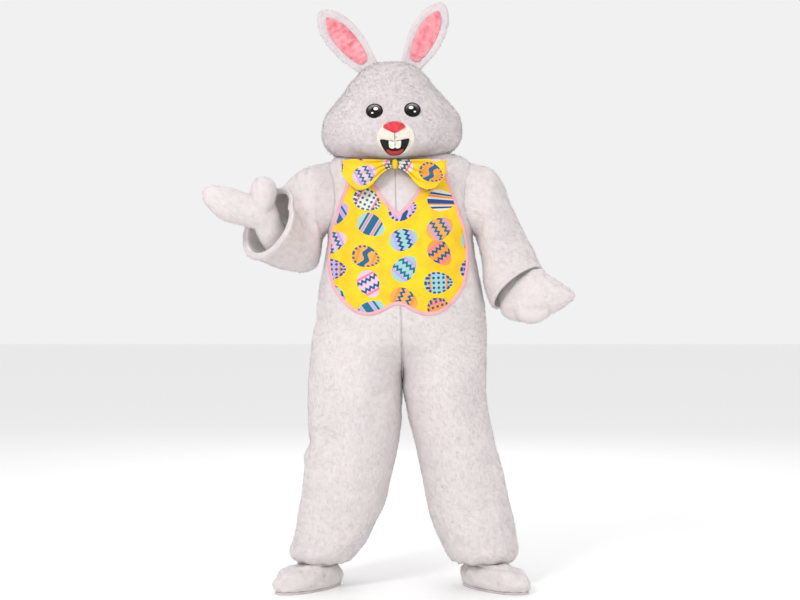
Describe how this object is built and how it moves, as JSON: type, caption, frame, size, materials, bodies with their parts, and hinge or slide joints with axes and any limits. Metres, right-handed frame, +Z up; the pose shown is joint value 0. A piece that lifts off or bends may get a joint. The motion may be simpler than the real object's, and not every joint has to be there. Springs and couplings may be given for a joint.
{
  "type": "bunny mascot costume",
  "caption": "Hollow plush bunny mascot costume with head, printed vest, bow tie, mitts and foot covers, in its worn shape",
  "frame": {"origin": "the wearer's shoulders, in the middle of the body, 1.5 m above the underside of the soles", "axes": "+Z up, -Y to the front of the costume, +X to the wearer's left"},
  "size_m": [1.3097, 0.4461, 2.0974],
  "materials": {
    "plush": "white short-pile plush",
    "sole_cloth": "hard-wearing pale cloth",
    "vest_print": "yellow polyester printed with decorated eggs",
    "bow_print": "the vest's printed cloth",
    "binding": "pink satin bias binding",
    "ear_satin": "pink satin",
    "eye_gloss": "black glossy plastic",
    "nose_red": "red felt over foam",
    "muzzle_cream": "cream short-pile plush",
    "mouth_black": "black felt",
    "tooth_white": "white felt",
    "lip_red": "red felt",
    "zip_tape": "white nylon coil zip",
    "zip_metal": "nickel-plated"
  },
  "bodies": {
    "root": {"front_right": "plush", "front_left": "plush", "back_right": "plush", "back_left": "plush", "sleeve_right": "plush", "sleeve_left": "plush", "head_face": "plush", "head_back": "plush", "ear_right": "plush", "ear_left": "plush", "mitt_right_palm": "plush", "mitt_right_back": "plush", "mitt_left_palm": "plush", "mitt_left_back": "plush", "foot_right_upper": "plush", "foot_left_upper": "plush", "foot_right_sole": "sole_cloth", "foot_left_sole": "sole_cloth", "vest_front": "vest_print", "bow_loop_right": "bow_print", "bow_loop_left": "bow_print", "bow_knot": "bow_print", "vest_binding": "binding", "ear_lining_right": "ear_satin", "ear_lining_left": "ear_satin", "eye_right": "eye_gloss", "eye_left": "eye_gloss", "nose": "nose_red", "muzzle": "muzzle_cream", "mouth": "mouth_black", "teeth": "tooth_white", "lower_lip": "lip_red", "zip_chain": "zip_tape", "zip_slider": "zip_metal"},
    "pull_tab": {"pull_tab": "zip_metal"}
  },
  "joints": [
    {"name": "pull_tab_hinge", "type": "hinge", "parent": "root", "child": "pull_tab", "pos_m": [-0.016, 0.14996, -0.0397], "axis": [0.9998, -0.0035, 0.0197], "range_deg": [0, 150]}
  ]
}
